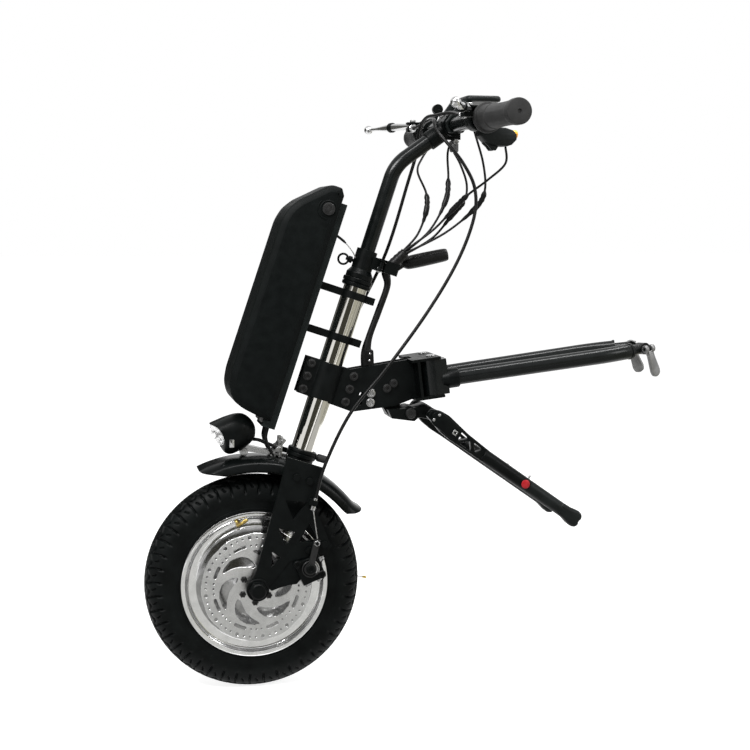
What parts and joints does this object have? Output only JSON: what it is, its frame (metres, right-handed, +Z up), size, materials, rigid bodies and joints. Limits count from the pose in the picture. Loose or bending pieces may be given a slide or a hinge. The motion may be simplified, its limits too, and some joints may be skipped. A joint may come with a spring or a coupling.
{
  "type": "wheelchair power assist",
  "caption": "Front-wheel electric drive that docks to a manual wheelchair: hub-motor wheel, plate fork, battery, bent handlebar post, folding arms and stand.",
  "frame": {"origin": "middle of the bounding box on the ground that the tyre stands on", "axes": "+X towards the wheelchair, +Y to the right-hand side, +Z up"},
  "size_m": [0.786, 0.5868, 0.8687],
  "materials": {
    "tyre": "matte",
    "hub_shell": "polished",
    "motor_covers": "satin",
    "wheel_bearings": "satin",
    "motor_magnets": "satin",
    "valve": "satin",
    "brake_rotors": "brushed",
    "rotor_bolts": "black",
    "axle": "satin",
    "motor_stator": "laminated",
    "fork_legs": "satin",
    "fork_crown": "satin",
    "fork_fasteners": "bright",
    "mudguard": "gloss",
    "lamp_bracket": "satin",
    "lamp_housing": "satin",
    "lamp_lens": "clear",
    "brake_calipers": "satin",
    "caliper_arm_left": "satin",
    "caliper_arm_right": "satin",
    "stem_clamp": "satin",
    "clamp_lever": "satin",
    "pull_pin": "polished",
    "stem_post": "satin",
    "bar_clamp": "satin",
    "handlebar": "satin",
    "grips": "matte",
    "lever_perches": "satin",
    "brake_lever_left": "polished",
    "brake_lever_right": "polished",
    "throttle_body": "matte",
    "throttle_paddle": "matte",
    "display": "gloss",
    "switch_box": "matte",
    "horn_button": "satin",
    "buzzer": "satin",
    "head_tube": "polished",
    "headset_cups": "satin",
    "headset_bearings": "satin",
    "clamp_plates": "satin",
    "hinge_bracket": "satin",
    "frame_fasteners": "satin",
    "battery_clamps": "satin",
    "battery_rail": "satin",
    "battery_shells": "satin",
    "battery_cells": "satin",
    "battery_lock": "satin",
    "stand_mount": "satin",
    "arm_left": "satin",
    "arm_right": "satin",
    "docking_lever_left": "satin",
    "docking_lever_right": "satin",
    "stand_frame": "satin",
    "stand_leg_left": "satin",
    "stand_leg_right": "satin",
    "stand_button_left": "satin",
    "stand_button_right": "satin",
    "brake_cables": "satin",
    "control_leads": "satin",
    "harness": "satin"
  },
  "bodies": {
    "frame": {"head_tube": "head_tube", "headset_cups": "headset_cups", "headset_bearings": "headset_bearings", "clamp_plates": "clamp_plates", "hinge_bracket": "hinge_bracket", "frame_fasteners": "frame_fasteners", "battery_clamps": "battery_clamps", "battery_rail": "battery_rail", "stand_mount": "stand_mount", "harness": "harness"},
    "battery": {"battery_shells": "battery_shells", "battery_cells": "battery_cells"},
    "battery_lock": {"battery_lock": "battery_lock"},
    "fork": {"axle": "axle", "motor_stator": "motor_stator", "fork_legs": "fork_legs", "fork_crown": "fork_crown", "fork_fasteners": "fork_fasteners", "mudguard": "mudguard", "lamp_bracket": "lamp_bracket", "brake_calipers": "brake_calipers", "stem_clamp": "stem_clamp", "brake_cables": "brake_cables"},
    "wheel": {"tyre": "tyre", "hub_shell": "hub_shell", "motor_covers": "motor_covers", "wheel_bearings": "wheel_bearings", "motor_magnets": "motor_magnets", "valve": "valve", "brake_rotors": "brake_rotors", "rotor_bolts": "rotor_bolts"},
    "lamp": {"lamp_housing": "lamp_housing", "lamp_lens": "lamp_lens"},
    "caliper_arm_left": {"caliper_arm_left": "caliper_arm_left"},
    "caliper_arm_right": {"caliper_arm_right": "caliper_arm_right"},
    "clamp_lever": {"clamp_lever": "clamp_lever"},
    "pull_pin": {"pull_pin": "pull_pin"},
    "handlebar": {"stem_post": "stem_post", "bar_clamp": "bar_clamp", "handlebar": "handlebar", "grips": "grips", "lever_perches": "lever_perches", "throttle_body": "throttle_body", "display": "display", "switch_box": "switch_box", "buzzer": "buzzer", "control_leads": "control_leads"},
    "brake_lever_left": {"brake_lever_left": "brake_lever_left"},
    "brake_lever_right": {"brake_lever_right": "brake_lever_right"},
    "throttle_paddle": {"throttle_paddle": "throttle_paddle"},
    "horn_button": {"horn_button": "horn_button"},
    "stand": {"stand_frame": "stand_frame"},
    "arm_left": {"arm_left": "arm_left"},
    "docking_lever_left": {"docking_lever_left": "docking_lever_left"},
    "stand_leg_left": {"stand_leg_left": "stand_leg_left"},
    "stand_button_left": {"stand_button_left": "stand_button_left"},
    "arm_right": {"arm_right": "arm_right"},
    "docking_lever_right": {"docking_lever_right": "docking_lever_right"},
    "stand_leg_right": {"stand_leg_right": "stand_leg_right"},
    "stand_button_right": {"stand_button_right": "stand_button_right"}
  },
  "joints": [
    {"name": "steering", "type": "hinge", "parent": "frame", "child": "fork", "pos_m": [-0.15869, 0, 0.34597], "axis": [0.3173, 0, 0.9483], "range_deg": [-40, 40], "deforming": ["brake_cables", "control_leads", "harness"]},
    {"name": "wheel_spin", "type": "hinge", "parent": "fork", "child": "wheel", "pos_m": [-0.23375, 0, 0.1585], "axis": [0, 1, 0], "continuous": true},
    {"name": "lamp_tilt", "type": "hinge", "parent": "fork", "child": "lamp", "pos_m": [-0.24468, 0, 0.35998], "axis": [0, 1, 0], "range_deg": [-10, 10]},
    {"name": "post_height", "type": "slide", "parent": "fork", "child": "handlebar", "axis": [0.3173, 0, 0.9483], "range_m": [0, 0.06], "deforming": ["brake_cables", "control_leads"]},
    {"name": "clamp_lever_open", "type": "hinge", "parent": "fork", "child": "clamp_lever", "pos_m": [-0.04279, -0.0184, 0.62143], "axis": [-0.3173, 0, -0.9483], "range_deg": [0, 100]},
    {"name": "pull_pin_out", "type": "slide", "parent": "fork", "child": "pull_pin", "axis": [-0.9483, 0, 0.3173], "range_m": [0, 0.008], "stiffness_N_per_m": 400, "springref_m": -0.002},
    {"name": "battery_out", "type": "slide", "parent": "frame", "child": "battery", "axis": [0.3173, 0, 0.9483], "range_m": [0, 0.06]},
    {"name": "battery_key", "type": "hinge", "parent": "battery", "child": "battery_lock", "pos_m": [-0.12514, -0.045, 0.70276], "axis": [0, -1, 0], "range_deg": [0, 90]},
    {"name": "brake_lever_left_squeeze", "type": "hinge", "parent": "handlebar", "child": "brake_lever_left", "pos_m": [0.04807, -0.16417, 0.83596], "axis": [0, 0, 1], "range_deg": [0, 15], "stiffness_Nm_per_rad": 0.6, "springref_deg": -5.73, "deforming": ["brake_cables"]},
    {"name": "brake_lever_right_squeeze", "type": "hinge", "parent": "handlebar", "child": "brake_lever_right", "pos_m": [0.04807, 0.16417, 0.83596], "axis": [0, 0, -1], "range_deg": [0, 15], "stiffness_Nm_per_rad": 0.6, "springref_deg": -5.73, "deforming": ["brake_cables"]},
    {"name": "caliper_arm_left_pull", "type": "hinge", "parent": "fork", "child": "caliper_arm_left", "pos_m": [-0.15875, -0.071, 0.18774], "axis": [0, -1, 0], "range_deg": [0, 18], "deforming": ["brake_cables"]},
    {"name": "caliper_arm_right_pull", "type": "hinge", "parent": "fork", "child": "caliper_arm_right", "pos_m": [-0.15875, 0.071, 0.18774], "axis": [0, -1, 0], "range_deg": [0, 18], "deforming": ["brake_cables"]},
    {"name": "throttle_press", "type": "hinge", "parent": "handlebar", "child": "throttle_paddle", "pos_m": [0.06938, 0.13866, 0.82496], "axis": [-0.068, -0.9977, 0], "range_deg": [0, 40], "stiffness_Nm_per_rad": 0.05, "springref_deg": -11.46},
    {"name": "horn_press", "type": "slide", "parent": "handlebar", "child": "horn_button", "axis": [-0.9977, -0.068, 0], "range_m": [0, 0.002], "stiffness_N_per_m": 800, "springref_m": -0.001},
    {"name": "arm_left_swing", "type": "hinge", "parent": "frame", "child": "arm_left", "pos_m": [0.03506, -0.023, 0.45717], "axis": [0.1219, 0, -0.9925], "range_deg": [0, 35]},
    {"name": "docking_lever_left_open", "type": "hinge", "parent": "arm_left", "child": "docking_lever_left", "pos_m": [0.3691, -0.03587, 0.49315], "axis": [-0.9327, -0.342, -0.1145], "range_deg": [0, 120]},
    {"name": "arm_right_swing", "type": "hinge", "parent": "frame", "child": "arm_right", "pos_m": [0.03506, 0.023, 0.45717], "axis": [-0.1219, 0, 0.9925], "range_deg": [0, 35]},
    {"name": "docking_lever_right_open", "type": "hinge", "parent": "arm_right", "child": "docking_lever_right", "pos_m": [0.3691, 0.03587, 0.49315], "axis": [0.9327, -0.342, 0.1145], "range_deg": [0, 120]},
    {"name": "stand_fold", "type": "hinge", "parent": "frame", "child": "stand", "pos_m": [0.00025, 0, 0.403], "axis": [0, 1, 0], "range_deg": [0, 47]},
    {"name": "stand_leg_left_out", "type": "slide", "parent": "stand", "child": "stand_leg_left", "axis": [0.8161, 0, -0.5779], "range_m": [0, 0.055]},
    {"name": "stand_button_left_press", "type": "slide", "parent": "stand", "child": "stand_button_left", "axis": [0, 1, 0], "range_m": [0, 0.0025], "stiffness_N_per_m": 800, "springref_m": -0.001},
    {"name": "stand_leg_right_out", "type": "slide", "parent": "stand", "child": "stand_leg_right", "axis": [0.8161, 0, -0.5779], "range_m": [0, 0.055]},
    {"name": "stand_button_right_press", "type": "slide", "parent": "stand", "child": "stand_button_right", "axis": [0, -1, 0], "range_m": [0, 0.0025], "stiffness_N_per_m": 800, "springref_m": -0.001}
  ],
  "couplings": [
    {"joint": "caliper_arm_left_pull", "follows": "brake_lever_right_squeeze", "ratio": 1},
    {"joint": "caliper_arm_right_pull", "follows": "brake_lever_left_squeeze", "ratio": 1}
  ]
}
